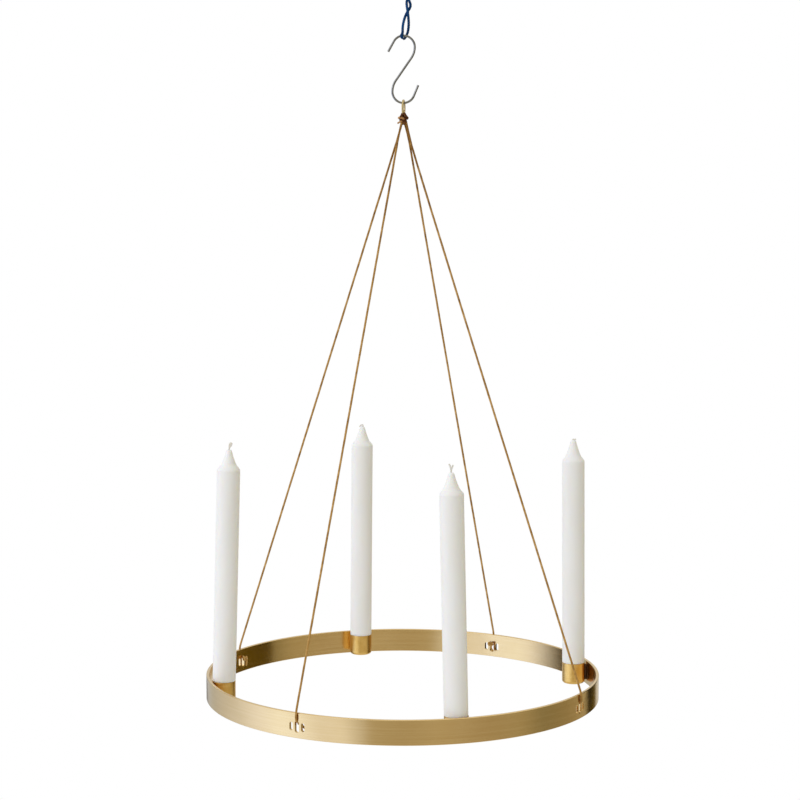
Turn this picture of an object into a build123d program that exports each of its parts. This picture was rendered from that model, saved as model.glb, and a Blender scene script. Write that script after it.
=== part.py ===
from build123d import *
from math import cos, radians, sin, tan
import os

# A hanging candle ring: a flat brass hoop on leather cords, with candle cups held to its inner face by magnets.
# Sizes are in millimetres and angles in degrees, with +Z up, +X to the right and +Y to the back.
# The origin is where the ceiling loop bears on its hook, so everything hangs below it.

# Hoop
HOOP_DIAMETER = 380.0
HOOP_HEIGHT = 23.2
HOOP_WALL = 3.0
HOOP_BEVEL = 0.4

# Slots for the leather cords, in groups of three round the hoop
SLOT_GROUP_ANGLES = {"back_right": 60.0, "back_left": 150.0, "front_left": 240.0, "front_right": 330.0}
SLOT_PITCH = 6.2
SLOT_BELOW_MIDDLE = 1.15
SIDE_SLOT_WIDTH = 3.6
SIDE_SLOT_LENGTH = 8.0
CORD_SLOT_WIDTH = 4.4
CORD_SLOT_LENGTH = 11.0

# Candle cups, drawn from sheet brass
CUP_ANGLES = {"right": 14.0, "back": 104.5, "left": 192.2, "front": 285.9}
CUP_BORE = 21.2
CUP_WALL = 0.6
CUP_HEIGHT = 20.5
CUP_FLOOR = 0.8
CUP_CORNER = 3.0
CUP_LIP = 0.2

# Magnet pads, bonded to the backs of the cups
MAGNET_WIDTH = 7.0
MAGNET_HEIGHT = 14.0
MAGNET_THICKNESS = 0.7
MAGNET_BOND = 0.1
MAGNET_AIR_GAP = 0.35

# Candles, with a foot that is trimmed to enter the cup
CANDLE_DIAMETER = 22.0
RIGHT_CANDLE_LENGTH = 241.5
BACK_CANDLE_LENGTH = 239.0
LEFT_CANDLE_LENGTH = 242.0
FRONT_CANDLE_LENGTH = 239.0
CANDLE_LENGTHS = {
    "right": RIGHT_CANDLE_LENGTH,
    "back": BACK_CANDLE_LENGTH,
    "left": LEFT_CANDLE_LENGTH,
    "front": FRONT_CANDLE_LENGTH,
}
CANDLE_LEAN_ANGLES = {"right": -0.6, "back": 0.4, "left": 1.6, "front": -1.4}
FOOT_CLEARANCE = 0.5
FOOT_ROUNDING = 2.6
SEAT_GAP = 0.3
RIM_GAP = 0.4
CANDLE_TIP_HEIGHT = 19.3
CANDLE_TIP_DIAMETER = 6.2
CANDLE_TIP_ROUNDING = 1.8
CANDLE_SHOULDER = 1.3
CANDLE_SHOULDER_INSET = 1.0
CANDLE_FLARE_DIP = 0.9

# Wicks
WICK_DIAMETER = 1.6
WICK_CLEARANCE = 0.1
WICK_RISE = 2.0
WICK_BEND = 1.7
WICK_ENDS = {
    "right": [(1.4, 0.0, 3.0)],
    "back": [(-1.4, 0.0, 3.0)],
    "left": [(2.2, 0.0, 6.2)],
    "front": [(-1.7, 0.0, 7.6), (1.8, 0.0, 6.4)],
}

# Leather cords and their knots
LEATHER_DIAMETER = 2.0
LEATHER_GAP = 0.3
LEATHER_EDGE_BEND = 7.0
LEATHER_EDGE_RISE = 0.5
CORD_DROP = 535.2
STOP_KNOT_WRAP_RADIUS = 2.1
STOP_KNOT_DEPTH = 4.2
STOP_KNOT_CORE_RADIUS = 1.5
STOP_KNOT_TILT = 24.0
STOP_TAIL_LENGTH = 8.0
STOP_TAIL_DRIFT = 1.6
TOP_KNOT_UPPER_WIDTH = 9.4
TOP_KNOT_LOWER_WIDTH = 7.2
TOP_KNOT_UPPER_DROP = 2.9
TOP_KNOT_LOWER_DROP = 7.2
TOP_KNOT_STRAND = 2.8
TOP_KNOT_CORE_RADIUS = 2.6
TOP_KNOT_TILT = 9.0
TOP_KNOT_CORD_SPREAD = 2.0
TOP_KNOT_STUB = (-5.6, -1.8, -7.8)

# Brass hanging ring, turned a little from edge-on
RING_DIAMETER = 15.6
RING_WIRE = 2.0
RING_TURN = -8.0

# Steel S-hook
HOOK_HEIGHT = 62.8
HOOK_WIRE = 2.1
HOOK_BEND_RADIUS = 10.5
HOOK_SLANT = 55.2
HOOK_UPPER_TIP_TURN = 151.0
HOOK_LOWER_TIP_TURN = 157.5
HOOK_TIP_LENGTH = 11.0
HANGING_GAP = 0.3

# Blue hanger cord, doubled under the hook's upper bend and twisted above it
HANGER_DIAMETER = 2.6
HANGER_RISE = 51.0
HANGER_BIGHT_FRONT = -0.9
HANGER_BIGHT_BACK = 1.2
HANGER_KNOT_GAP = 0.2
HANGER_KNOT_SPREAD = 1.5
HANGER_KNOT_RUN = 3.0
FRONT_STRAND = [(0.6, -0.9, 44.6), (3.0, -1.5, 40.0), (3.8, -1.5, 36.4), (5.4, -1.3, 32.6), (7.2, -0.2, 28.4),
                (6.5, 1.1, 25.2), (4.3, 1.5, 22.2), (2.2, 0.6, 17.4), (0.6, -1.0, 11.6), (-0.4, -2.2, 6.2),
                (-0.8, -2.6, 2.2)]
BACK_STRAND = [(3.4, 2.65, 0.8), (4.7, 2.3, 4.2), (5.4, 1.6, 9.4), (5.4, 0.6, 14.6), (4.9, -1.0, 20.4),
               (4.2, -1.4, 24.4), (3.3, -0.8, 28.8), (3.1, 0.6, 32.0), (4.0, 1.4, 35.2), (5.2, 1.4, 39.4),
               (3.8, 0.6, 44.4)]

# Ceiling knot and loop, tied in the same cord
LOOP_HEIGHT = 22.0
LOOP_WIDTH = 10.0
LOOP_SHOULDER = 10.0
LOOP_NECK = 1.4
CEILING_KNOT_HEIGHT = 9.0
CEILING_KNOT_WIDTH = 8.4
CEILING_KNOT_TILT = 14.0

# Share of the shorter run that a cord's corner takes up
CORNER_SHARE = 0.45
RIGHT_ANGLE = 90.0
HALF_TURN = 180.0

HOOP_RADIUS = HOOP_DIAMETER / 2
HOOP_INNER_RADIUS = HOOP_RADIUS - HOOP_WALL
CUP_RADIUS = CUP_BORE / 2 + CUP_WALL
CUP_ORBIT = HOOP_INNER_RADIUS - MAGNET_AIR_GAP - MAGNET_THICKNESS - MAGNET_BOND - CUP_RADIUS
FOOT_RADIUS = CUP_BORE / 2 - FOOT_CLEARANCE
FOOT_LENGTH = CUP_HEIGHT - CUP_FLOOR - SEAT_GAP + RIM_GAP
HANGER_RADIUS = HANGER_DIAMETER / 2
LEATHER_RADIUS = LEATHER_DIAMETER / 2

# Heights, worked out downwards from the ceiling loop
CEILING_KNOT_TOP = -LOOP_HEIGHT
CEILING_KNOT_BOTTOM = CEILING_KNOT_TOP - CEILING_KNOT_HEIGHT
HOOK_TOP = CEILING_KNOT_BOTTOM - HANGER_RISE
HOOK_BOTTOM = HOOK_TOP - HOOK_HEIGHT
RING_TOP = HOOK_BOTTOM + HOOK_WIRE / 2 + HANGING_GAP + RING_WIRE / 2
RING_BOTTOM = RING_TOP - (RING_DIAMETER - RING_WIRE)
HOOP_TOP = RING_BOTTOM - CORD_DROP
HOOP_BOTTOM = HOOP_TOP - HOOP_HEIGHT
HOOP_MIDDLE = HOOP_TOP - HOOP_HEIGHT / 2
SLOT_MIDDLE = HOOP_MIDDLE - SLOT_BELOW_MIDDLE
CORD_ENTRY = SLOT_MIDDLE + CORD_SLOT_LENGTH / 2 - LEATHER_RADIUS - LEATHER_GAP
CUP_BOTTOM = HOOP_MIDDLE - CUP_HEIGHT / 2
CUP_RIM = CUP_BOTTOM + CUP_HEIGHT


def corner_radii(points):
    """Give each corner the largest arc that its two runs leave room for."""
    corners = [Vector(*point) for point in points]
    radii = []
    for before, corner, after in zip(corners, corners[1:], corners[2:]):
        arriving = corner - before
        leaving = after - corner
        turn = radians(arriving.get_angle(leaving))
        radii.append(CORNER_SHARE * min(arriving.length, leaving.length) / tan(turn / 2))
    return radii


def tube(points, radii, diameter):
    """Sweep a round section along straight runs joined by tangent arcs."""
    if len(points) == 2:
        path = Line(*points)
    else:
        path = FilletPolyline(*points, radius=radii)
    section = Plane(origin=path @ 0, z_dir=path % 0) * Circle(diameter / 2)
    return sweep(section, path=path)


def cord(name, points, radii, diameter):
    """Sweep a cord and print its corner radii, its length and how its volume agrees with its section."""
    length = FilletPolyline(*points, radius=radii).length
    solid = tube(points, radii, diameter)
    expected = Circle(diameter / 2).area * length
    shown = [round(radius, 1) for radius in radii]
    print(f"{name}: radii {shown}, length {length:.1f}, volume ratio {solid.volume / expected:.4f}")
    return solid


def hoop_band():
    """A flat band bent into a hoop, with bevelled edges and the groups of slots."""
    band = Cylinder(HOOP_RADIUS, HOOP_HEIGHT) - Cylinder(HOOP_INNER_RADIUS, HOOP_HEIGHT)
    band = chamfer(band.edges().filter_by(GeomType.CIRCLE), HOOP_BEVEL)
    band = Pos(0, 0, HOOP_MIDDLE) * band
    side_slot = SlotOverall(SIDE_SLOT_LENGTH, SIDE_SLOT_WIDTH, rotation=RIGHT_ANGLE)
    cord_slot = SlotOverall(CORD_SLOT_LENGTH, CORD_SLOT_WIDTH, rotation=RIGHT_ANGLE)
    outline = cord_slot + Pos(-SLOT_PITCH, 0) * side_slot + Pos(SLOT_PITCH, 0) * side_slot
    punch = extrude(Plane.YZ * outline, amount=HOOP_RADIUS + HOOP_WALL)
    for angle in SLOT_GROUP_ANGLES.values():
        band -= Pos(0, 0, SLOT_MIDDLE) * Rot(0, 0, angle) * punch
    return band


def at_cup(side):
    """Place a piece whose axis is at the origin on the axis of one cup."""
    return Rot(0, 0, CUP_ANGLES[side]) * Pos(CUP_ORBIT, 0, 0)


def candle_cup(side):
    """A drawn cup with a rounded bottom edge and an open top."""
    low = (Align.CENTER, Align.CENTER, Align.MIN)
    shell = Cylinder(CUP_RADIUS, CUP_HEIGHT, align=low)
    shell = fillet(shell.edges().group_by(Axis.Z)[0], CUP_CORNER)
    bore = Pos(0, 0, CUP_FLOOR) * Cylinder(CUP_BORE / 2, CUP_HEIGHT, align=low)
    bore = fillet(bore.edges().group_by(Axis.Z)[0], CUP_CORNER - CUP_WALL)
    shell -= bore
    shell = fillet(shell.edges().group_by(Axis.Z)[-1], CUP_LIP)
    return at_cup(side) * Pos(0, 0, CUP_BOTTOM) * shell


def magnet_pad(side):
    """A thin pad that fits the cup's round back on one side and the hoop's inner face on the other."""
    reach = CUP_RADIUS + MAGNET_BOND + MAGNET_THICKNESS
    block = Pos(reach, 0, HOOP_MIDDLE) * Box(2 * reach, MAGNET_WIDTH, MAGNET_HEIGHT)
    cup_side = Pos(0, 0, HOOP_MIDDLE) * Cylinder(CUP_RADIUS + MAGNET_BOND, HOOP_HEIGHT)
    hoop_side = Pos(-CUP_ORBIT, 0, HOOP_MIDDLE) * Cylinder(HOOP_INNER_RADIUS - MAGNET_AIR_GAP, HOOP_HEIGHT)
    pad = (block & hoop_side) - cup_side
    return at_cup(side) * pad


def at_candle(side):
    """Place a candle that stands on the origin in its cup, leaning about the middle of its foot."""
    foot_middle = FOOT_LENGTH / 2
    seat = Pos(0, 0, CUP_BOTTOM + CUP_FLOOR + SEAT_GAP + foot_middle)
    turn_back = Rot(0, 0, -CUP_ANGLES[side])
    lean = Rot(0, CANDLE_LEAN_ANGLES[side], 0)
    return at_cup(side) * turn_back * seat * lean * Pos(0, 0, -foot_middle)


def candle(side):
    """A straight candle with a trimmed foot, a flared tip and a hole along its axis for the wick."""
    length = CANDLE_LENGTHS[side]
    radius = CANDLE_DIAMETER / 2
    hole = WICK_DIAMETER / 2 + WICK_CLEARANCE
    flare_low = Vector(radius - CANDLE_SHOULDER_INSET, length - CANDLE_TIP_HEIGHT + CANDLE_SHOULDER)
    flare_high = Vector(CANDLE_TIP_DIAMETER / 2, length - CANDLE_TIP_ROUNDING)
    dip = (flare_low + flare_high) / 2 - Vector(CANDLE_FLARE_DIP, 0)
    tip = Vector(CANDLE_TIP_DIAMETER / 2 - CANDLE_TIP_ROUNDING, length)
    straight = Polyline(
        (hole, length),
        (hole, 0),
        (FOOT_RADIUS - FOOT_ROUNDING, 0),
    )
    foot_edge = RadiusArc(straight @ 1, (FOOT_RADIUS, FOOT_ROUNDING), -FOOT_ROUNDING)
    side_line = Polyline(
        foot_edge @ 1,
        (FOOT_RADIUS, FOOT_LENGTH),
        (radius, FOOT_LENGTH),
        (radius, length - CANDLE_TIP_HEIGHT),
        flare_low,
    )
    flare = ThreePointArc(flare_low, dip, flare_high)
    crown = RadiusArc(flare_high, tip, -CANDLE_TIP_ROUNDING)
    top = Line(tip, straight @ 0)
    profile = Plane.XZ * make_face(straight + foot_edge + side_line + flare + crown + top)
    return at_candle(side) * revolve(profile, Axis.Z)


def wick(side):
    """A wick that runs the whole candle and ends above its tip, bent over or split."""
    length = CANDLE_LENGTHS[side]
    strands = []
    for end_x, end_y, end_rise in WICK_ENDS[side]:
        points = [(0, 0, 0), (0, 0, length + WICK_RISE), (end_x, end_y, length + end_rise)]
        bend = min(WICK_BEND, corner_radii(points)[0])
        strands.append(tube(points, [bend], WICK_DIAMETER))
    solid = strands[0]
    for strand in strands[1:]:
        solid += strand
    return at_candle(side) * solid


def leather_route(corner):
    """The cord's points: from the top knot, over the hoop's edge, down its face and in through the slot."""
    angle = radians(SLOT_GROUP_ANGLES[corner])
    outside = HOOP_RADIUS + LEATHER_GAP + LEATHER_RADIUS
    inside = HOOP_INNER_RADIUS - LEATHER_GAP
    stations = [
        (TOP_KNOT_CORD_SPREAD, RING_BOTTOM - TOP_KNOT_LOWER_DROP),
        (outside, HOOP_TOP + LEATHER_EDGE_RISE),
        (outside, CORD_ENTRY),
        (inside, CORD_ENTRY),
    ]
    return [(reach * cos(angle), reach * sin(angle), height) for reach, height in stations]


def leather_cord(corner, knot):
    """A taut cord from the top knot to the hoop, ending on the flat of its stop knot."""
    bends = [LEATHER_EDGE_BEND, LEATHER_DIAMETER]
    return cord(f"leather cord {corner}", leather_route(corner), bends, LEATHER_DIAMETER) - knot


def stop_knot(corner):
    """An overhand knot on the hoop's inner face, with a short tail hanging from it."""
    flat = HOOP_INNER_RADIUS - LEATHER_GAP
    across = Rot(0, RIGHT_ANGLE, 0)
    core = Pos(flat - STOP_KNOT_DEPTH / 2, 0, 0) * across * Cylinder(STOP_KNOT_CORE_RADIUS, STOP_KNOT_DEPTH)
    near_wrap = Pos(flat - LEATHER_RADIUS, 0, 0) * across * Torus(STOP_KNOT_WRAP_RADIUS, LEATHER_RADIUS)
    far_wrap = across * Torus(STOP_KNOT_WRAP_RADIUS, LEATHER_RADIUS)
    far_wrap = Pos(flat - STOP_KNOT_DEPTH + LEATHER_RADIUS, 0, 0) * Rot(0, 0, STOP_KNOT_TILT) * far_wrap
    tail_x = flat - STOP_KNOT_DEPTH / 2
    tail_points = [
        (tail_x, 0, 0),
        (tail_x, STOP_TAIL_DRIFT / 2, -STOP_TAIL_LENGTH / 2),
        (tail_x + LEATHER_RADIUS, STOP_TAIL_DRIFT, -STOP_TAIL_LENGTH),
    ]
    tail = tube(tail_points, corner_radii(tail_points), LEATHER_DIAMETER)
    knot = core + near_wrap + far_wrap + tail
    return Rot(0, 0, SLOT_GROUP_ANGLES[corner]) * Pos(0, 0, CORD_ENTRY) * knot


def wrap(width, strand, drop, tilt):
    """One turn of a knot, lying round the vertical axis with a small tilt."""
    return Pos(0, 0, drop) * Rot(tilt, tilt, 0) * Torus(width / 2 - strand / 2, strand / 2)


def top_knot():
    """The knot that gathers the cords, with the loop that goes over the hanging ring's lower side."""
    reach = RING_WIRE / 2 + HANGING_GAP + LEATHER_RADIUS
    shoulder = TOP_KNOT_UPPER_WIDTH / 2 - TOP_KNOT_STRAND / 2
    loop_points = [
        (-shoulder, 0, -TOP_KNOT_UPPER_DROP),
        (-reach, 0, -HANGING_GAP),
        (-reach, 0, reach),
        (reach, 0, reach),
        (reach, 0, -HANGING_GAP),
        (shoulder, 0, -TOP_KNOT_UPPER_DROP),
    ]
    bend = 2 * CORNER_SHARE * reach
    loop = tube(loop_points, [reach, bend, bend, reach], LEATHER_DIAMETER)
    core_height = TOP_KNOT_LOWER_DROP - TOP_KNOT_UPPER_DROP
    core = Pos(0, 0, -TOP_KNOT_UPPER_DROP - core_height / 2) * Cylinder(TOP_KNOT_CORE_RADIUS, core_height)
    upper = wrap(TOP_KNOT_UPPER_WIDTH, TOP_KNOT_STRAND, -TOP_KNOT_UPPER_DROP, TOP_KNOT_TILT)
    lower = wrap(TOP_KNOT_LOWER_WIDTH, TOP_KNOT_STRAND, -TOP_KNOT_LOWER_DROP, -TOP_KNOT_TILT)
    stub = tube([(0, 0, -TOP_KNOT_LOWER_DROP), TOP_KNOT_STUB], [], LEATHER_DIAMETER)
    knot = core + upper + lower + loop + stub
    return Pos(0, 0, RING_BOTTOM) * Rot(0, 0, RING_TURN) * knot


def hanging_ring():
    """A closed wire ring that hangs on the hook's lower bend, square to the hook."""
    ring_middle = (RING_TOP + RING_BOTTOM) / 2
    ring = Torus((RING_DIAMETER - RING_WIRE) / 2, RING_WIRE / 2)
    return Pos(0, 0, ring_middle) * Rot(0, 0, RING_TURN) * Rot(0, RIGHT_ANGLE, 0) * ring


def hook_half(tip_turn):
    """Half of the hook's line, from its middle over one bend to a straight flared tip."""
    slant = radians(HOOK_SLANT)
    rise = HOOK_HEIGHT / 2 - HOOK_BEND_RADIUS
    shoulder = (rise * cos(slant) - HOOK_BEND_RADIUS * sin(slant)) / (1 - sin(slant))
    run = (HOOK_BEND_RADIUS - shoulder * (1 - sin(slant))) / cos(slant)
    middle = Line((0, 0), (run * cos(slant), run * sin(slant)))
    gentle = JernArc(start=middle @ 1, tangent=middle % 1, radius=shoulder, arc_size=RIGHT_ANGLE - HOOK_SLANT)
    bend = JernArc(start=gentle @ 1, tangent=gentle % 1, radius=HOOK_BEND_RADIUS, arc_size=tip_turn)
    tip = Line(bend @ 1, bend @ 1 + HOOK_TIP_LENGTH * (bend % 1))
    return middle + gentle + bend + tip


def s_hook():
    """An S-shaped wire hook, whose upper tip flares more than its lower one."""
    upper = hook_half(HOOK_UPPER_TIP_TURN)
    lower = Rot(0, 0, HALF_TURN) * hook_half(HOOK_LOWER_TIP_TURN)
    wire = Plane.XZ * Wire((upper + lower).edges(), sequenced=True)
    section = Plane(origin=wire @ 0, z_dir=wire % 0) * Circle(HOOK_WIRE / 2)
    return Pos(0, 0, (HOOK_TOP + HOOK_BOTTOM) / 2) * sweep(section, path=wire)


def hanger_cord():
    """A doubled cord that goes under the hook's upper bend and twists on its way up to the knot."""
    under = HOOK_WIRE / 2 + HANGING_GAP + HANGER_RADIUS
    top = HANGER_RISE - HANGER_KNOT_GAP
    points = [
        (-HANGER_KNOT_SPREAD, 0, top),
        (-HANGER_KNOT_SPREAD, 0, top - HANGER_KNOT_RUN),
        *FRONT_STRAND,
        (HANGER_BIGHT_FRONT, -under, -under),
        (HANGER_BIGHT_BACK, under, -under),
        *BACK_STRAND,
        (HANGER_KNOT_SPREAD, 0, top - HANGER_KNOT_RUN),
        (HANGER_KNOT_SPREAD, 0, top),
    ]
    radii = corner_radii(points)
    bight = len(FRONT_STRAND) + 1
    radii[bight] = under
    radii[bight + 1] = under
    return Pos(0, 0, HOOK_TOP) * cord("hanger cord", points, radii, HANGER_DIAMETER)


def ceiling_loop():
    """The hanger cord's upper knot, flat underneath, and the loop above it."""
    bearing = HANGER_RADIUS
    side = LOOP_WIDTH / 2
    neck = CEILING_KNOT_TOP - HANGER_RADIUS
    loop_points = [
        (-LOOP_NECK, 0, neck),
        (-side, 0, CEILING_KNOT_TOP + LOOP_SHOULDER),
        (-side, 0, bearing),
        (side, 0, bearing),
        (side, 0, CEILING_KNOT_TOP + LOOP_SHOULDER),
        (LOOP_NECK, 0, neck),
    ]
    bend = 2 * CORNER_SHARE * side
    loop = tube(loop_points, [LOOP_SHOULDER, bend, bend, LOOP_SHOULDER], HANGER_DIAMETER)
    strand = CEILING_KNOT_HEIGHT / 2
    knot_middle = (CEILING_KNOT_TOP + CEILING_KNOT_BOTTOM) / 2
    core = Pos(0, 0, knot_middle) * Cylinder(CEILING_KNOT_WIDTH / 2 - HANGER_RADIUS, CEILING_KNOT_HEIGHT)
    upper = wrap(CEILING_KNOT_WIDTH, HANGER_DIAMETER, knot_middle + strand / 2, CEILING_KNOT_TILT)
    lower = wrap(CEILING_KNOT_WIDTH, HANGER_DIAMETER, knot_middle - strand / 2, -CEILING_KNOT_TILT)
    return core + upper + lower + loop


def build():
    """Make every piece, keyed by its node's name."""
    knot = top_knot()
    nodes = {
        "ceiling_loop": ceiling_loop(),
        "hanger_cord": hanger_cord(),
        "s_hook": s_hook(),
        "hanging_ring": hanging_ring(),
        "top_knot": knot,
        "hoop_band": hoop_band(),
    }
    for corner in SLOT_GROUP_ANGLES:
        nodes[f"leather_cord_{corner}"] = leather_cord(corner, knot)
        nodes[f"stop_knot_{corner}"] = stop_knot(corner)
    for side in CUP_ANGLES:
        nodes[f"cup_{side}"] = candle_cup(side)
        nodes[f"magnet_{side}"] = magnet_pad(side)
        nodes[f"candle_{side}"] = candle(side)
        nodes[f"wick_{side}"] = wick(side)
    return nodes


os.makedirs("parts", exist_ok=True)
for name, piece in build().items():
    piece.label = name
    export_step(piece, f"parts/{name}.step")
    print(f"{name}: {len(piece.solids())} solid, {piece.volume:.2f} mm3")
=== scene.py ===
"""Looks of a hanging brass candle ring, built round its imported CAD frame."""

import logging
import math
from abc import ABC, abstractmethod
from dataclasses import dataclass, field
from enum import Enum
from typing import Iterable, Sequence

import bmesh
import bpy
from mathutils import Matrix, Vector, noise


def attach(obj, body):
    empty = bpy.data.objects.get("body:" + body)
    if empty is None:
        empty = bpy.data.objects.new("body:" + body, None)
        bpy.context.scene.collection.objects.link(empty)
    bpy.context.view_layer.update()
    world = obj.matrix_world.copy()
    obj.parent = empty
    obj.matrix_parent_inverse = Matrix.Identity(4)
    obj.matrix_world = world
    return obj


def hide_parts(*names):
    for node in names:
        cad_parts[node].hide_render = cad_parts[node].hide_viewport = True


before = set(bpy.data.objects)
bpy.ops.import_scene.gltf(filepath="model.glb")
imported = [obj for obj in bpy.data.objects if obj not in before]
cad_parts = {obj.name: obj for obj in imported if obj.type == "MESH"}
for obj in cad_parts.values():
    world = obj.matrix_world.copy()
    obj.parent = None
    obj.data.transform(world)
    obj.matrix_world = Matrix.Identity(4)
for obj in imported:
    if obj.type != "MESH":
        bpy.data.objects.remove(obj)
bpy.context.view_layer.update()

LOG = logging.getLogger("candle_ring")
MM = 0.001
FULL_TURN = 2.0 * math.pi
Triple = tuple[float, float, float]
Colour = tuple[float, float, float, float]
Stop = tuple[float, Colour]
Socket = bpy.types.NodeSocket
Material = bpy.types.Material
Ring = list[bmesh.types.BMVert]

# Heights from the point that the ceiling loop hangs on, and the cups' reach from the hoop's axis, in mm
HOOK_TOP = -82.0
RING_BOTTOM = -156.05
HOOP_TOP = -691.25
CORD_ENTRY = -699.8
CUP_ORBIT = 174.65

# How far the ring, and so the knot on it, is turned from edge-on, in degrees
RING_TURN = -8.0


class Side(Enum):
    """The four cups and their candles, by where the photograph shows them."""

    RIGHT = "right"
    BACK = "back"
    LEFT = "left"
    FRONT = "front"


class Corner(Enum):
    """The four leather cords, by where they reach the hoop."""

    BACK_RIGHT = "back_right"
    BACK_LEFT = "back_left"
    FRONT_LEFT = "front_left"
    FRONT_RIGHT = "front_right"


CUP_ANGLES: dict[Side, float] = {Side.RIGHT: 14.0, Side.BACK: 104.5, Side.LEFT: 192.2, Side.FRONT: 285.9}
CORNER_ANGLES: dict[Corner, float] = {
    Corner.BACK_RIGHT: 60.0,
    Corner.BACK_LEFT: 150.0,
    Corner.FRONT_LEFT: 240.0,
    Corner.FRONT_RIGHT: 330.0,
}


def rgb(red: float, green: float, blue: float) -> Colour:
    """A linear colour with full alpha."""
    return (red, green, blue, 1.0)


def metres(points: Iterable[Triple]) -> list[Vector]:
    """Points in millimetres as vectors in metres."""
    return [Vector(point) * MM for point in points]


def polar(angle: float, reach: float, height: float) -> Triple:
    """A point in millimetres at an angle round the hoop's axis, in degrees."""
    turn = math.radians(angle)
    return (reach * math.cos(turn), reach * math.sin(turn), height)


class NodeBoard:
    """A node tree with short ways to add and join nodes."""

    def __init__(self, tree: bpy.types.NodeTree) -> None:
        """Empty the tree and keep it."""
        self.tree = tree
        self.tree.nodes.clear()

    def node(self, kind: str, **fields: object) -> bpy.types.Node:
        """Add a node.

        Args:
            kind: the node's type.
            fields: the node's own settings.

        Returns:
            The new node.
        """
        made = self.tree.nodes.new(kind)
        for name, value in fields.items():
            setattr(made, name, value)
        return made

    def feed(self, socket: Socket, value: object) -> None:
        """Link a socket to another, or set its own value."""
        if isinstance(value, Socket):
            self.tree.links.new(value, socket)
        else:
            socket.default_value = value

    def math(self, operation: str, first: object, second: object = 0.0) -> Socket:
        """The result of a sum on two values."""
        made = self.node("ShaderNodeMath", operation=operation)
        self.feed(made.inputs[0], first)
        self.feed(made.inputs[1], second)
        return made.outputs[0]

    def span(self, value: object, start: float, end: float, low: float = 0.0, high: float = 1.0,
             smooth: bool = False) -> Socket:
        """A value's place between two limits, mapped to two others.

        Args:
            value: the socket to map.
            start: the value that gives low.
            end: the value that gives high.
            low: the lower result.
            high: the upper result.
            smooth: whether the ends ease in and out.

        Returns:
            The mapped value's socket.
        """
        made = self.node("ShaderNodeMapRange", interpolation_type="SMOOTHSTEP" if smooth else "LINEAR")
        for socket, given in zip(made.inputs, (value, start, end, low, high)):
            self.feed(socket, given)
        return made.outputs[0]

    def object_point(self) -> Socket:
        """The shaded point in the object's own axes."""
        return self.node("ShaderNodeTexCoord").outputs["Object"]

    def parts(self, vector: Socket) -> tuple[Socket, ...]:
        """A vector's three numbers."""
        made = self.node("ShaderNodeSeparateXYZ")
        self.feed(made.inputs[0], vector)
        return tuple(made.outputs)

    def vector(self, x: object, y: object, z: object) -> Socket:
        """A vector from three numbers."""
        made = self.node("ShaderNodeCombineXYZ")
        for socket, value in zip(made.inputs, (x, y, z)):
            self.feed(socket, value)
        return made.outputs[0]

    def stretched(self, vector: Socket, scale: Triple) -> Socket:
        """A point scaled differently along each axis."""
        made = self.node("ShaderNodeMapping", vector_type="POINT")
        self.feed(made.inputs["Vector"], vector)
        self.feed(made.inputs["Scale"], scale)
        return made.outputs[0]

    def noise(self, vector: Socket, scale: float, detail: float = 2.0,
              roughness: float = 0.5) -> Socket:
        """Smooth noise at a point, from 0 to 1."""
        made = self.node("ShaderNodeTexNoise")
        self.feed(made.inputs["Vector"], vector)
        for name, value in (("Scale", scale), ("Detail", detail), ("Roughness", roughness)):
            self.feed(made.inputs[name], value)
        return made.outputs[0]

    def grain(self, vector: Socket, scale: Triple, detail: float = 2.0,
              roughness: float = 0.5) -> Socket:
        """Noise that is drawn out along the axes with the smaller scales."""
        return self.noise(self.stretched(vector, scale), 1.0, detail, roughness)

    def weigh(self, first: object, share: float, second: object) -> Socket:
        """The sum of two values, the first at its share and the second at what is left."""
        rest = self.math("MULTIPLY", second, 1.0 - share)
        return self.math("ADD", self.math("MULTIPLY", first, share), rest)

    def seen(self) -> Socket:
        """One where the camera sees the point, by itself or through something clear, and zero elsewhere."""
        path = self.node("ShaderNodeLightPath")
        return self.math("MAXIMUM", path.outputs["Is Camera Ray"], path.outputs["Is Transmission Ray"])

    def ramp(self, factor: object, stops: Sequence[Stop]) -> Socket:
        """A colour read from a ramp of stops.

        Args:
            factor: the place along the ramp.
            stops: places and colours, in order.

        Returns:
            The colour's socket.
        """
        made = self.node("ShaderNodeValToRGB")
        ramp = made.color_ramp
        for place, _ in stops[2:]:
            ramp.elements.new(place)
        for element, (place, colour) in zip(ramp.elements, stops):
            element.position = place
            element.color = colour
        self.feed(made.inputs[0], factor)
        return made.outputs[0]

    def blend(self, factor: object, first: object, second: object) -> Socket:
        """Two colours mixed by a factor."""
        made = self.node("ShaderNodeMix", data_type="RGBA")
        for index, value in ((0, factor), (6, first), (7, second)):
            self.feed(made.inputs[index], value)
        return made.outputs[2]

    def bump(self, height: Socket, strength: float, depth: float,
             normal: Socket | None = None) -> Socket:
        """A normal tilted by a height.

        Args:
            height: the height, from 0 to 1.
            strength: how much of it shows.
            depth: how deep it is, in metres.
            normal: a normal to start from.

        Returns:
            The new normal's socket.
        """
        made = self.node("ShaderNodeBump")
        for name, value in (("Strength", strength), ("Distance", depth), ("Height", height)):
            self.feed(made.inputs[name], value)
        if normal is not None:
            self.feed(made.inputs["Normal"], normal)
        return made.outputs[0]


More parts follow.
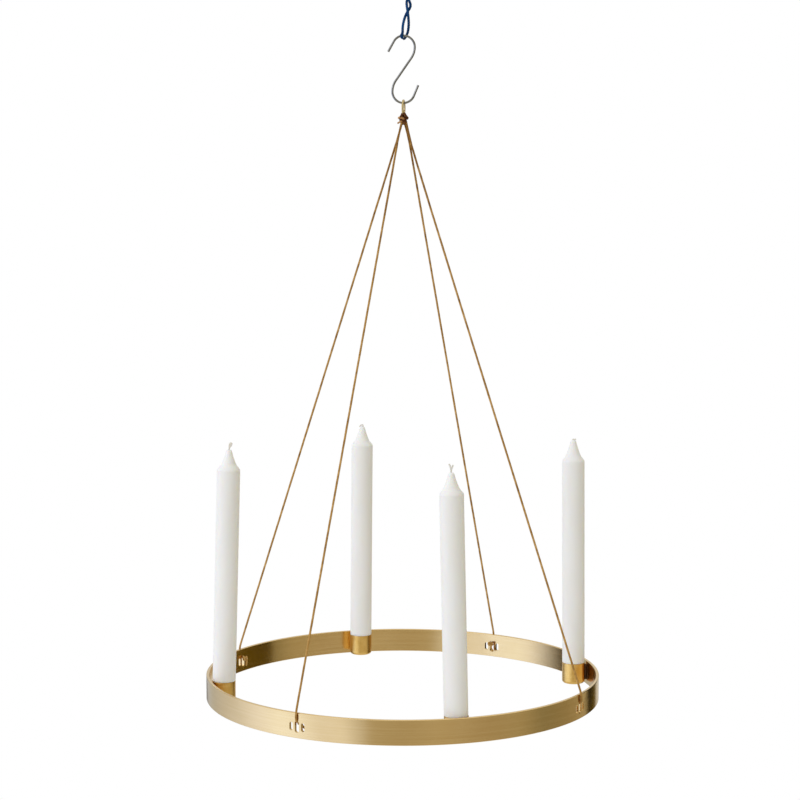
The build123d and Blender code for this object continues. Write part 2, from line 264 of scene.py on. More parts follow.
class SurfaceBoard(NodeBoard):
    """A material's node tree with its shader in place."""

    def __init__(self, name: str) -> None:
        """Make the material, its shader and its output."""
        self.material = bpy.data.materials.new(name)
        self.material.use_nodes = True
        super().__init__(self.material.node_tree)
        self.shader = self.node("ShaderNodeBsdfPrincipled")
        output = self.node("ShaderNodeOutputMaterial")
        self.feed(output.inputs["Surface"], self.shader.outputs[0])

    def set(self, **values: object) -> None:
        """Set or link the shader's sockets, with underscores for spaces."""
        for name, value in values.items():
            self.feed(self.shader.inputs[name.replace("_", " ")], value)

    def brush_round(self) -> None:
        """Make a metal whose highlights are drawn out by brush lines round the Z axis."""
        tangent = self.node("ShaderNodeTangent", direction_type="RADIAL", axis="Z").outputs[0]
        self.set(Metallic=1.0, Anisotropic=0.7, Anisotropic_Rotation=0.25, Tangent=tangent)


@dataclass(frozen=True)
class Finish(ABC):
    """A finish that is painted on a material's nodes."""

    name: str

    def make(self) -> Material:
        """Make the material.

        Returns:
            The painted material.
        """
        board = SurfaceBoard(self.name)
        self.paint(board)
        return board.material

    @abstractmethod
    def paint(self, board: SurfaceBoard) -> None:
        """Set and link the shader's sockets on the material's nodes."""


@dataclass(frozen=True)
class BrushedBrass(Finish):
    """Satin brass, brushed along the hoop by a belt."""

    name: str = "hoop_brass"
    pale: Colour = rgb(0.80, 0.565, 0.245)
    deep: Colour = rgb(0.74, 0.505, 0.198)
    smoothest: float = 0.14
    roughest: float = 0.23
    fine_lines: Triple = (22.0, 22.0, 3600.0)
    streaks: Triple = (9.0, 9.0, 950.0)
    waves: Triple = (14.0, 14.0, 30.0)
    clouds: float = 26.0

    def paint(self, board: SurfaceBoard) -> None:
        """Paint brush lines that follow the hoop round.

        Args:
            board: the material's nodes.
        """
        x, y, z = board.parts(board.object_point())
        squares = board.math("ADD", board.math("MULTIPLY", x, x), board.math("MULTIPLY", y, y))
        across = board.math("ADD", z, board.math("SQRT", squares))
        point = board.vector(x, y, across)
        streak = board.grain(point, self.streaks, 3.0, 0.6)
        tone = board.weigh(streak, 0.6, board.noise(board.object_point(), self.clouds))
        lines = board.weigh(board.grain(point, self.fine_lines), 0.65, streak)
        wavy = board.bump(board.grain(point, self.waves, 1.0), 0.35, 0.0012)
        board.brush_round()
        board.set(
            Base_Color=board.ramp(tone, ((0.36, self.deep), (0.62, self.pale))),
            Roughness=board.span(lines, 0.32, 0.68, self.smoothest, self.roughest),
            Normal=board.bump(lines, 0.12, 0.00012, wavy),
        )


@dataclass(frozen=True)
class DrawnBrass(Finish):
    """Thin drawn brass of the cups, with faint lines round it."""

    name: str = "cup_brass"
    pale: Colour = rgb(0.85, 0.56, 0.175)
    deep: Colour = rgb(0.75, 0.455, 0.110)
    smoothest: float = 0.30
    roughest: float = 0.40
    level_lines: Triple = (45.0, 45.0, 2600.0)
    mottles: float = 140.0

    def paint(self, board: SurfaceBoard) -> None:
        """Paint fine level lines and a soft mottle.

        Args:
            board: the material's nodes.
        """
        point = board.object_point()
        lines = board.grain(point, self.level_lines)
        mottle = board.noise(point, self.mottles, 3.0, 0.55)
        tone = board.weigh(lines, 0.35, mottle)
        board.brush_round()
        board.set(
            Base_Color=board.ramp(tone, ((0.36, self.deep), (0.62, self.pale))),
            Roughness=board.span(tone, 0.34, 0.66, self.smoothest, self.roughest),
            Normal=board.bump(lines, 0.08, 0.0001, board.bump(mottle, 0.10, 0.0003)),
        )


@dataclass(frozen=True)
class DrawnWire(Finish):
    """Bent metal wire with faint scuffs and a little tarnish."""

    bright: Colour
    dull: Colour
    smoothest: float
    roughest: float
    tarnish: float = 210.0
    scuffs: Triple = (900.0, 900.0, 260.0)

    def paint(self, board: SurfaceBoard) -> None:
        """Paint cloudy tarnish and fine scuffs.

        Args:
            board: the material's nodes.
        """
        point = board.object_point()
        tarnish = board.noise(point, self.tarnish, 3.0, 0.6)
        scuff = board.grain(point, self.scuffs, 3.0, 0.6)
        board.set(
            Base_Color=board.ramp(tarnish, ((0.36, self.dull), (0.60, self.bright))),
            Metallic=1.0,
            Roughness=board.span(tarnish, 0.35, 0.65, self.roughest, self.smoothest),
            Normal=board.bump(scuff, 0.14, 0.00008),
        )


@dataclass(frozen=True)
class CandleWax(Finish):
    """Matte white wax, a little see-through, rough at the edge of the moulded tip."""

    name: str = "candle_wax"
    pale: Colour = rgb(0.900, 0.896, 0.882)
    warm: Colour = rgb(0.875, 0.868, 0.845)
    edge_from: float = -0.0215
    edge_to: float = -0.0165
    edge_blend: float = 0.001
    clouds: Triple = (70.0, 70.0, 14.0)
    streaks: Triple = (420.0, 420.0, 9.0)
    pits: float = 900.0
    pits_off_edge: float = 0.15

    def paint(self, board: SurfaceBoard) -> None:
        """Paint the wax, whose own zero height is the candle's tip.

        Args:
            board: the material's nodes.
        """
        point = board.object_point()
        height = board.parts(point)[2]
        cloud = board.grain(point, self.clouds, 3.0, 0.55)
        streak = board.grain(point, self.streaks)
        pits = board.noise(point, self.pits, 3.0, 0.65)
        above = board.span(height, self.edge_from, self.edge_from + self.edge_blend)
        below = board.span(height, self.edge_to, self.edge_to + 1.5 * self.edge_blend, 1.0, 0.0)
        rim = board.math("MULTIPLY", board.math("MULTIPLY", above, below), 1.0 - self.pits_off_edge)
        rough_rim = board.math("MULTIPLY", pits, board.math("ADD", rim, self.pits_off_edge))
        soft = board.bump(board.math("ADD", streak, cloud), 0.10, 0.0004)
        board.set(
            Base_Color=board.ramp(cloud, ((0.34, self.warm), (0.62, self.pale))),
            Roughness=board.span(pits, 0.30, 0.70, 0.42, 0.58),
            Specular_IOR_Level=0.35,
            Subsurface_Weight=0.35,
            Subsurface_Radius=(1.0, 0.78, 0.5),
            Subsurface_Scale=0.004,
            Normal=board.bump(rough_rim, 0.45, 0.0005, soft),
        )


@dataclass(frozen=True)
class WaxedWick(Finish):
    """Braided cotton wick, soaked in wax."""

    name: str = "wick_cotton"
    pale: Colour = rgb(0.86, 0.84, 0.79)
    shade: Colour = rgb(0.66, 0.62, 0.55)
    fibres: Triple = (2600.0, 2600.0, 700.0)

    def paint(self, board: SurfaceBoard) -> None:
        """Paint a fibrous off-white cotton.

        Args:
            board: the material's nodes.
        """
        fibre = board.grain(board.object_point(), self.fibres, 3.0, 0.6)
        board.set(
            Base_Color=board.ramp(fibre, ((0.33, self.shade), (0.60, self.pale))),
            Roughness=board.span(fibre, 0.3, 0.7, 0.75, 0.55),
            Subsurface_Weight=0.2,
            Subsurface_Radius=(1.0, 0.8, 0.55),
            Subsurface_Scale=0.001,
            Normal=board.bump(fibre, 0.5, 0.00025),
        )


@dataclass(frozen=True)
class CordLeather(Finish):
    """Thin round tan leather cord, darker in patches of dye and where it was handled below the knot."""

    name: str = "cord_leather"
    dark: Colour = rgb(0.215, 0.095, 0.014)
    middle: Colour = rgb(0.440, 0.242, 0.064)
    light: Colour = rgb(0.620, 0.380, 0.130)
    handled: float = 0.13
    handled_from: float = -0.30
    handled_to: float = -0.18
    dye_patches: float = 150.0
    pores: float = 1500.0

    def paint(self, board: SurfaceBoard) -> None:
        """Paint patches of dye and a fine grain.

        Args:
            board: the material's nodes.
        """
        point = board.object_point()
        height = board.parts(point)[2]
        dye = board.noise(point, self.dye_patches, 3.0, 0.6)
        grain = board.noise(point, self.pores, 3.0, 0.6)
        worn = board.span(height, self.handled_from, self.handled_to, 0.0, self.handled, smooth=True)
        tone = board.math("SUBTRACT", board.weigh(dye, 0.72, grain), worn)
        board.set(
            Base_Color=board.ramp(tone, ((0.32, self.dark), (0.49, self.middle), (0.66, self.light))),
            Roughness=board.span(grain, 0.3, 0.7, 0.50, 0.70),
            Specular_IOR_Level=0.15,
            Normal=board.bump(grain, 0.45, 0.0002),
        )


@dataclass(frozen=True)
class LaidBlueCord(Finish):
    """Deep blue laid cord of fine glossy fibres."""

    name: str = "blue_cord"
    dark: Colour = rgb(0.001, 0.013, 0.062)
    light: Colour = rgb(0.001, 0.066, 0.215)
    fibres: Triple = (1900.0, 1900.0, 480.0)
    patches: float = 120.0

    def paint(self, board: SurfaceBoard) -> None:
        """Paint a fibrous deep blue.

        Args:
            board: the material's nodes.
        """
        point = board.object_point()
        fibre = board.grain(point, self.fibres, 3.0, 0.6)
        tone = board.weigh(fibre, 0.6, board.noise(point, self.patches))
        board.set(
            Base_Color=board.ramp(tone, ((0.34, self.dark), (0.64, self.light))),
            Roughness=board.span(fibre, 0.3, 0.7, 0.42, 0.60),
            Specular_IOR_Level=0.12,
            Normal=board.bump(fibre, 0.5, 0.0002),
        )


@dataclass(frozen=True)
class MagnetContactShade(Finish):
    """Dark brown on the magnet pads: real pads, coloured as a painted contact shadow between each cup and
    the band.
    """

    name: str = "magnet_painted_shade"
    # Painted shade: the pads' dark brown stands in for the contact shadow beside each cup.
    dark: Colour = rgb(0.045, 0.014, 0.003)
    light: Colour = rgb(0.100, 0.038, 0.008)
    specks: float = 2200.0

    def paint(self, board: SurfaceBoard) -> None:
        """Paint a grainy dark brown.

        Args:
            board: the material's nodes.
        """
        grain = board.noise(board.object_point(), self.specks, 3.0, 0.6)
        board.set(
            Base_Color=board.ramp(grain, ((0.35, self.dark), (0.65, self.light))),
            Roughness=board.span(grain, 0.3, 0.7, 0.40, 0.60),
            Normal=board.bump(grain, 0.3, 0.0001),
        )


@dataclass(frozen=True)
class PaleFloor:
    """Matte white floor that keeps a soft shadow."""

    name: str = "pale_floor"
    paint: Colour = rgb(0.86, 0.86, 0.855)
    shade: Colour = rgb(0.84, 0.84, 0.835)
    glow: float = 0.80
    specks: float = 60.0

    def make(self) -> Material:
        """Make the material.

        Returns:
            A paint that the camera sees mixed with plain white.
        """
        material = bpy.data.materials.new(self.name)
        material.use_nodes = True
        board = NodeBoard(material.node_tree)
        grain = board.noise(board.object_point(), self.specks, 3.0)
        paint = board.node("ShaderNodeBsdfDiffuse")
        board.feed(paint.inputs["Color"], board.ramp(grain, ((0.3, self.shade), (0.7, self.paint))))
        white = board.node("ShaderNodeEmission")
        mixed = board.node("ShaderNodeMixShader")
        board.feed(mixed.inputs[0], board.math("MULTIPLY", board.seen(), self.glow))
        board.feed(mixed.inputs[1], paint.outputs[0])
        board.feed(mixed.inputs[2], white.outputs[0])
        output = board.node("ShaderNodeOutputMaterial")
        board.feed(output.inputs["Surface"], mixed.outputs[0])
        return material


@dataclass(frozen=True)
class FlagCloth(Finish):
    """Black cloth of a studio flag, brown along its foot, which may thin out to an open net."""

    black: Colour = rgb(0.008, 0.007, 0.005)
    foot: Colour = rgb(0.150, 0.105, 0.010)
    foot_height: float = -0.84
    foot_blend: float = 0.06
    net_from: float | None = None
    net_to: float = 0.0
    net_closed: float = 0.97
    folds: float = 80.0
    fold_height: float = 0.01

    def paint(self, board: SurfaceBoard) -> None:
        """Paint a dark cloth, closed past the net's depth.

        Args:
            board: the material's nodes.
        """
        _, depth, height = board.parts(board.object_point())
        fold = board.noise(board.object_point(), self.folds)
        place = board.math("ADD", height, board.span(fold, 0.3, 0.7, -self.fold_height, self.fold_height))
        low = board.span(place, self.foot_height, self.foot_height + self.foot_blend)
        board.set(
            Base_Color=board.ramp(low, ((0.0, self.foot), (1.0, self.black))),
            Roughness=0.9,
            Specular_IOR_Level=0.0,
        )
        if self.net_from is not None:
            board.set(Alpha=board.span(depth, self.net_from, self.net_to, 0.0, self.net_closed))


@dataclass(frozen=True)
class Finishes:
    """Every material, made once."""

    hoop: Material = field(default_factory=BrushedBrass().make)
    cup: Material = field(default_factory=DrawnBrass().make)
    ring: Material = field(default_factory=DrawnWire(
        "ring_brass", rgb(0.70, 0.54, 0.27), rgb(0.50, 0.37, 0.14), 0.16, 0.28).make)
    steel: Material = field(default_factory=DrawnWire(
        "hook_steel", rgb(0.30, 0.29, 0.25), rgb(0.19, 0.18, 0.15), 0.20, 0.34).make)
    wax: Material = field(default_factory=CandleWax().make)
    wick: Material = field(default_factory=WaxedWick().make)
    leather: Material = field(default_factory=CordLeather().make)
    # Two copies of the cord leather for the gathering knot: a paler one, truly paler at the cut end and
    # painted light on the raised strands, and a near-black one, painted shade on the loops, wraps and core.
    cut_and_painted_lit_leather: Material = field(default_factory=CordLeather(
        "cut_and_painted_lit_leather", rgb(0.32, 0.15, 0.045), rgb(0.46, 0.24, 0.085), rgb(0.60, 0.34, 0.14), 0.0).make)
    painted_shade_leather: Material = field(default_factory=CordLeather(
        "painted_shade_leather", rgb(0.040, 0.009, 0.001), rgb(0.090, 0.027, 0.004), rgb(0.170, 0.068, 0.016),
        0.0).make)
    blue: Material = field(default_factory=LaidBlueCord().make)
    magnet: Material = field(default_factory=MagnetContactShade().make)


def nurbs_line(points: Sequence[Vector], steps: int) -> list[Vector]:
    """Read the smooth line that a route's points control.

    Args:
        points: the control points, in metres.
        steps: how finely each stretch is read.

    Returns:
        Points along the line, in order.
    """
    curve = bpy.data.curves.new("route", "CURVE")
    curve.dimensions = "3D"
    curve.resolution_u = steps
    spline = curve.splines.new("NURBS")
    spline.points.add(len(points) - 1)
    for control, point in zip(spline.points, points):
        control.co = (*point, 1.0)
    spline.order_u = 3
    spline.use_endpoint_u = True
    spline.resolution_u = steps
    holder = bpy.data.objects.new("route", curve)
    mesh = bpy.data.meshes.new_from_object(holder)
    line = [vertex.co.copy() for vertex in mesh.vertices]
    bpy.data.objects.remove(holder)
    bpy.data.curves.remove(curve)
    bpy.data.meshes.remove(mesh)
    return line


@dataclass(frozen=True)
class Pinch:
    """Where along a cord, in millimetres, it is thinner by a share, or fuller if the share is negative."""

    place: float
    share: float
    length: float = 1.8


@dataclass(frozen=True)
class CordSection:
    """A cord's cross-section, in millimetres."""

    radius: float
    sides: int = 14
    strands: int = 0
    groove: float = 0.0
    lay_length: float = 8.0
    uneven: float = 0.0
    uneven_length: float = 6.0
    pinches: tuple[Pinch, ...] = ()

    def reach(self, angle: float, along: float, seed: float) -> float:
        """How far the surface is from the cord's middle.

        Args:
            angle: the direction round the cord, in radians.
            along: the distance along the cord, in metres.
            seed: a number that sets one cord apart from another.

        Returns:
            The distance, in metres.
        """
        size = self.radius * MM
        if self.strands:
            turned = angle - FULL_TURN * along / (self.lay_length * MM)
            size *= 1.0 - self.groove * (1.0 - abs(math.cos(0.5 * self.strands * turned)))
        if self.uneven:
            spot = along / (self.uneven_length * MM)
            size *= 1.0 + self.uneven * noise.noise(Vector((math.cos(angle), math.sin(angle) + seed, spot)))
        for pinch in self.pinches:
            away = (along / MM - pinch.place) / pinch.length
            size *= 1.0 - pinch.share * math.exp(-away * away)
        return size


class TubeMaker:
    """Gathers swept tubes into one mesh.

    A tube's ends are domed. Each step of the dome has a share of the end's width and a rise, and the tip
    has a rise alone. A rise is a share of the tube's radius.
    """

    dome_steps: tuple[tuple[float, float], ...] = ((0.86, 0.16), (0.5, 0.26))
    dome_tip: float = 0.3

    def __init__(self) -> None:
        """Start an empty mesh, in the first finish."""
        self.mesh = bmesh.new()
        self.finish_index = 0

    def add(self, line: Sequence[Vector], section: CordSection, seed: float = 0.0) -> None:
        """Sweep a section along a line and close its ends.

        Args:
            line: the points that the tube follows, in metres.
            section: the tube's cross-section.
            seed: a number that sets one tube apart from another.
        """
        last = len(line) - 1
        tangents = [(line[min(i + 1, last)] - line[max(i - 1, 0)]).normalized() for i in range(last + 1)]
        normal = tangents[0].orthogonal().normalized()
        rings: list[Ring] = []
        along = 0.0
        for index, point in enumerate(line):
            if index:
                along += (point - line[index - 1]).length
                normal = tangents[index - 1].rotation_difference(tangents[index]) @ normal
            rings.append(self._ring(point, tangents[index], normal, section, along, seed))
        for lower, upper in zip(rings, rings[1:]):
            self._skin(lower, upper)
        self._close(rings[0][::-1], line[0], -tangents[0], section.radius * MM)
        self._close(rings[-1], line[-1], tangents[-1], section.radius * MM)

    def _ring(self, point: Vector, tangent: Vector, normal: Vector, section: CordSection, along: float,
              seed: float) -> Ring:
        """One ring of vertices round the line."""
        side = tangent.cross(normal)
        ring = []
        for step in range(section.sides):
            angle = FULL_TURN * step / section.sides
            ray = normal * math.cos(angle) + side * math.sin(angle)
            ring.append(self.mesh.verts.new(point + ray * section.reach(angle, along, seed)))
        return ring

    def _skin(self, lower: Ring, upper: Ring) -> None:
        """Faces between two rings."""
        count = len(lower)
        for step in range(count):
            after = (step + 1) % count
            face = self.mesh.faces.new((lower[step], lower[after], upper[after], upper[step]))
            face.material_index = self.finish_index

    def _close(self, ring: Ring, centre: Vector, outward: Vector, radius: float) -> None:
        """A slightly domed end, as a cord cut and pressed flat."""
        last = ring
        for share, rise in self.dome_steps:
            middle = centre + outward * radius * rise
            inner = [self.mesh.verts.new(middle + (vertex.co - centre) * share) for vertex in ring]
            self._skin(last, inner)
            last = inner
        tip = self.mesh.verts.new(centre + outward * radius * self.dome_tip)
        for step in range(len(last)):
            face = self.mesh.faces.new((last[step], last[(step + 1) % len(last)], tip))
            face.material_index = self.finish_index

    def finish(self, name: str, *materials: Material) -> bpy.types.Object:
        """Turn the gathered tubes into an object, with its finishes in the order of their indices."""
        return finish_mesh(self.mesh, name, *materials)


def finish_mesh(mesh: bmesh.types.BMesh, name: str, *materials: Material,
                crease: float = 50.0) -> bpy.types.Object:
    """Turn a built mesh into a smooth-shaded object.

    Args:
        mesh: the mesh, which is freed.
        name: the object's name.
        materials: its finishes.
        crease: the angle in degrees above which an edge stays sharp.

    Returns:
        The new object, in the scene.
    """
    bmesh.ops.recalc_face_normals(mesh, faces=mesh.faces)
    data = bpy.data.meshes.new(name)
    mesh.to_mesh(data)
    mesh.free()
    data.shade_smooth()
    data.set_sharp_from_angle(angle=math.radians(crease))
    for material in materials:
        data.materials.append(material)
    made = bpy.data.objects.new(name, data)
    bpy.context.scene.collection.objects.link(made)
    return made


def dress(node: str, material: Material) -> None:
    """Give a CAD node its finish."""
    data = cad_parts[node].data
    data.materials.clear()
    data.materials.append(material)
    LOG.info("%s keeps its CAD shape, in %s", node, material.name)


@dataclass
class PhotoCamera:
    """The camera at the photograph's place."""

    place: Triple = (-0.002919, -2.0391, -0.20759)
    dip: float = 6.1417
    roll: float = 0.08
    lens: float = 96.269
    sensor: float = 36.0
    sight: float = 50.0

    def build(self) -> None:
        """Make the camera and hand it to the scene."""
        data = bpy.data.cameras.new("photo_camera")
        data.lens = self.lens
        data.sensor_width = self.sensor
        data.clip_end = self.sight
        camera = bpy.data.objects.new("photo_camera", data)
        bpy.context.scene.collection.objects.link(camera)
        tilt = Matrix.Rotation(math.radians(90.0 - self.dip), 4, "X")
        roll = Matrix.Rotation(math.radians(self.roll), 4, "Z")
        camera.matrix_world = Matrix.Translation(self.place) @ tilt @ roll
        bpy.context.scene.camera = camera


@dataclass(frozen=True)
class StudioFlag:
    """A black flag that stands beside the hoop, which only the metal mirrors."""

    cloth: FlagCloth
    near_end: tuple[float, float]
    far_end: tuple[float, float]
    low: float
    high: float
    rows: int = 4

    def build(self) -> None:
        """Hang the flag upright between its two ends."""
        mesh = bmesh.new()
        rows = []
        for step in range(self.rows + 1):
            height = self.low + (self.high - self.low) * step / self.rows
            rows.append([mesh.verts.new((*end, height)) for end in (self.near_end, self.far_end)])
        for (left, right), (upper_left, upper_right) in zip(rows, rows[1:]):
            mesh.faces.new((left, right, upper_right, upper_left))
        flag = finish_mesh(mesh, self.cloth.name, self.cloth.make())
        for ray in ("camera", "diffuse", "transmission", "shadow", "volume_scatter"):
            setattr(flag, f"visible_{ray}", False)


@dataclass
class Studio:
    """A plain soft studio: its walls' light, one wide lamp, a pale floor and two black flags."""

    floor_height: float = -1.30
    floor_radius: float = 1.30
    floor_sides: int = 96
    ceiling_from: float = 0.30
    ceiling_to: float = 0.85
    lamp_place: Triple = (-1.7, -1.2, 0.5)
    lamp_aim: Triple = (0.0, 0.0, -0.55)
    lamp_size: float = 1.2
    lamp_power: float = 7.0
    ceiling: Colour = rgb(0.96, 0.97, 0.98)
    flags: tuple[StudioFlag, ...] = (
        StudioFlag(FlagCloth("right_flag"), (0.371, 0.118), (0.515, 0.620), -1.10, -0.54),
        StudioFlag(FlagCloth("left_flag", net_from=0.10, net_to=0.30),
                   (-0.245, -0.06), (-0.255, 0.42), -1.05, -0.75),
    )
    walls: tuple[Stop, ...] = (
        (0.000, rgb(0.80, 0.82, 0.86)),
        (0.050, rgb(0.52, 0.56, 0.62)),
        (0.100, rgb(0.55, 0.60, 0.67)),
        (0.142, rgb(0.66, 0.73, 0.93)),
        (0.195, rgb(0.81, 0.93, 1.35)),
        (0.250, rgb(1.04, 1.22, 1.92)),
        (0.290, rgb(1.16, 1.39, 2.12)),
        (0.330, rgb(1.14, 1.37, 2.15)),
        (0.366, rgb(0.97, 1.11, 1.62)),
        (0.404, rgb(0.97, 1.09, 1.50)),
        (0.436, rgb(0.66, 0.70, 0.84)),
        (0.452, rgb(0.51, 0.49, 0.44)),
        (0.500, rgb(0.48, 0.45, 0.385)),
        (0.560, rgb(0.53, 0.50, 0.435)),
        (0.630, rgb(0.46, 0.42, 0.355)),
        (0.700, rgb(0.43, 0.40, 0.315)),
        (0.745, rgb(0.29, 0.275, 0.205)),
        (0.805, rgb(0.335, 0.295, 0.20)),
        (0.870, rgb(0.48, 0.43, 0.30)),
        (0.925, rgb(0.56, 0.53, 0.44)),
        (0.960, rgb(0.70, 0.70, 0.68)),
        (1.000, rgb(0.80, 0.82, 0.86)),
    )
    soft_walls: tuple[Stop, ...] = (
        (0.00, rgb(0.76, 0.76, 0.75)),
        (0.12, rgb(0.82, 0.82, 0.83)),
        (0.25, rgb(0.94, 0.94, 0.955)),
        (0.36, rgb(0.90, 0.905, 0.925)),
        (0.45, rgb(0.76, 0.765, 0.785)),
        (0.55, rgb(0.64, 0.63, 0.59)),
        (0.66, rgb(0.53, 0.48, 0.33)),
        (0.76, rgb(0.41, 0.34, 0.15)),
        (0.86, rgb(0.41, 0.34, 0.15)),
        (0.93, rgb(0.52, 0.48, 0.36)),
        (1.00, rgb(0.74, 0.735, 0.72)),
    )

    def build(self) -> None:
        """Light the scene and lay the floor."""
        bpy.context.scene.view_settings.view_transform = "Standard"
        self._world()
        self._lamp()
        self._floor()
        for flag in self.flags:
            flag.build()

    def _world(self) -> None:
        """Walls that are bright at the left and warm and dim at the right, but plain white to the camera."""
        world = bpy.data.worlds.new("studio")
        world.use_nodes = True
        bpy.context.scene.world = world
        board = NodeBoard(world.node_tree)
        x, y, z = board.parts(board.node("ShaderNodeTexCoord").outputs["Generated"])
        bearing = board.math("ARCTAN2", x, board.math("MULTIPLY", y, -1.0))
        turn = board.span(bearing, -math.pi, math.pi)
        mirrored = board.node("ShaderNodeLightPath").outputs["Is Glossy Ray"]
        walls = board.blend(mirrored, board.ramp(turn, self.soft_walls), board.ramp(turn, self.walls))
        overhead = board.span(z, self.ceiling_from, self.ceiling_to, smooth=True)
        light = board.blend(overhead, walls, self.ceiling)
        background = board.node("ShaderNodeBackground")
        board.feed(background.inputs["Color"], board.blend(board.seen(), light, rgb(1.0, 1.0, 1.0)))
        output = board.node("ShaderNodeOutputWorld")
        board.feed(output.inputs["Surface"], background.outputs[0])

    def _lamp(self) -> None:
        """One wide soft lamp at the left."""
        data = bpy.data.lights.new("window_lamp", "AREA")
        data.shape = "DISK"
        data.size = self.lamp_size
        data.energy = self.lamp_power
        lamp = bpy.data.objects.new("window_lamp", data)
        bpy.context.scene.collection.objects.link(lamp)
        aim = Vector(self.lamp_aim) - Vector(self.lamp_place)
        turn = aim.to_track_quat("-Z", "Y").to_matrix().to_4x4()
        lamp.matrix_world = Matrix.Translation(self.lamp_place) @ turn

    def _floor(self) -> None:
        """A round floor below the hoop."""
        mesh = bmesh.new()
        bmesh.ops.create_circle(mesh, cap_ends=True, segments=self.floor_sides, radius=self.floor_radius)
        floor = finish_mesh(mesh, "floor", PaleFloor().make())
        floor.location = (0.0, 0.0, self.floor_height)


@dataclass
class BlueHanger:
    """The doubled blue cord between its ceiling knot and the hook's upper bend."""

    diameter: float = 2.6
    length: float = 0.117
    wrap_top: float = -24.2
    wrap_height: float = 4.5
    wrap_radius: float = 2.8
    wrap_tilt: float = 14.0
    wrap_steps: int = 32
    wrap_steps_round: int = 12
    bight: tuple[Pinch, ...] = (Pinch(55.4, -0.40, 2.0), Pinch(59.3, 0.30))
    route: tuple[Triple, ...] = (
        (-1.5, 0.0, 50.8), (-1.5, 0.0, 47.8),
        (0.6, -0.9, 44.6), (3.0, -1.5, 40.0), (3.8, -1.5, 36.4), (5.0, -1.3, 32.8), (6.7, -0.2, 28.6),
        (5.8, 1.1, 25.2), (3.4, 1.5, 22.2), (1.2, 0.6, 17.4), (-0.4, -1.0, 11.6), (-1.0, -2.2, 6.6),
        (-0.9, -2.7, 3.6), (-1.3, -2.9, 1.2), (-2.1, -3.3, -0.8), (-0.9, -3.3, -2.85), (0.8, 2.65, -3.0),
        (3.0, 2.65, 0.8), (4.2, 2.3, 4.2), (4.8, 1.6, 9.4), (4.7, 0.6, 14.6), (4.1, -1.0, 20.4),
        (3.4, -1.4, 24.4), (2.8, -0.8, 28.8), (2.8, 0.6, 32.0), (4.0, 1.4, 35.2), (5.2, 1.4, 39.4),
        (3.8, 0.6, 44.4), (1.5, 0.0, 47.8), (1.5, 0.0, 50.8),
    )
    loop: tuple[Triple, ...] = (
        (-1.4, 0.0, -25.6), (-1.4, 0.0, -23.1), (-5.0, 0.0, -12.0), (-5.0, 0.0, 1.3),
        (5.0, 0.0, 1.3), (5.0, 0.0, -12.0), (1.4, 0.0, -23.1), (1.4, 0.0, -25.6),
    )

    def section(self, pinches: tuple[Pinch, ...] = ()) -> CordSection:
        """Three strands laid together, which may be pinched."""
        return CordSection(self.diameter / 2, sides=18, strands=3, groove=0.13, lay_length=7.0, uneven=0.03,
                           pinches=pinches)

    def build(self, blue: Material) -> None:
        """Build the ceiling loop and the doubled cord under it.

        Args:
            blue: the cord's finish.
        """
        loop = self._loop(blue)
        points = [Vector((x, y, HOOK_TOP + z)) * MM for x, y, z in self.route]
        line = nurbs_line(points, steps=12)
        maker = TubeMaker()
        maker.add(line, self.section(self.bight))
        cord = maker.finish("blue_hanger", blue)
        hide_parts("hanger_cord")
        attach(cord, "cord_body")
        LOG.info("%s: a doubled blue cord of %d points", cord.name, len(line))

    def _loop(self, blue: Material) -> bpy.types.Object:
        """Build the loop that hangs on the ceiling hook, and the knot that closes it.

        Args:
            blue: the cord's finish.

        Returns:
            The loop piece.
        """
        maker = TubeMaker()
        maker.add(nurbs_line(metres(self.loop), steps=12), self.section(), 1.0)
        maker.add(nurbs_line(self._wraps(), steps=6), self.section(), 2.0)
        loop = maker.finish("blue_loop", blue)
        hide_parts("ceiling_loop")
        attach(loop, "loop_body")
        LOG.info("%s: the loop and knot above the view", loop.name)
        return loop

    def _wraps(self) -> list[Vector]:
        """Slanted turns of the knot, wound down round the two strands.

        Returns:
            The turns' control points, in metres.
        """
        tilt = math.tan(math.radians(self.wrap_tilt))
        points = []
        for step in range(self.wrap_steps + 1):
            angle = FULL_TURN * step / self.wrap_steps_round
            x = self.wrap_radius * math.cos(angle)
            y = self.wrap_radius * math.sin(angle)
            points.append((x, y, self.wrap_top - self.wrap_height * step / self.wrap_steps + x * tilt))
        return metres(points)


@dataclass
class HookAndRing:
    """The steel S-hook and the small brass ring on it."""

    hook: str = "s_hook"
    ring: str = "hanging_ring"

    def build(self, finishes: Finishes) -> None:
        """Dress the hook and the ring."""
        dress(self.hook, finishes.steel)
        dress(self.ring, finishes.ring)


@dataclass(frozen=True)
class KnotWrap:
    """One turn of leather round the gathering knot, in millimetres."""

    width: float
    depth: float
    drop: float
    shift: float
    tilt: float
    start: float
    steps: int = 14
    steps_round: int = 13
    sink: float = 0.04

    def points(self) -> list[Triple]:
        """The turn's control points, below the ring's lower wire.

        Returns:
            Points once round the knot and a little further, so that the ends overlap.
        """
        slope = math.tan(math.radians(self.tilt))
        points = []
        for step in range(self.steps + 1):
            angle = self.start + FULL_TURN * step / self.steps_round
            x = self.width * math.cos(angle)
            y = self.depth * math.sin(angle)
            points.append((self.shift + x, y, -self.drop + x * slope - self.sink * step))
        return points


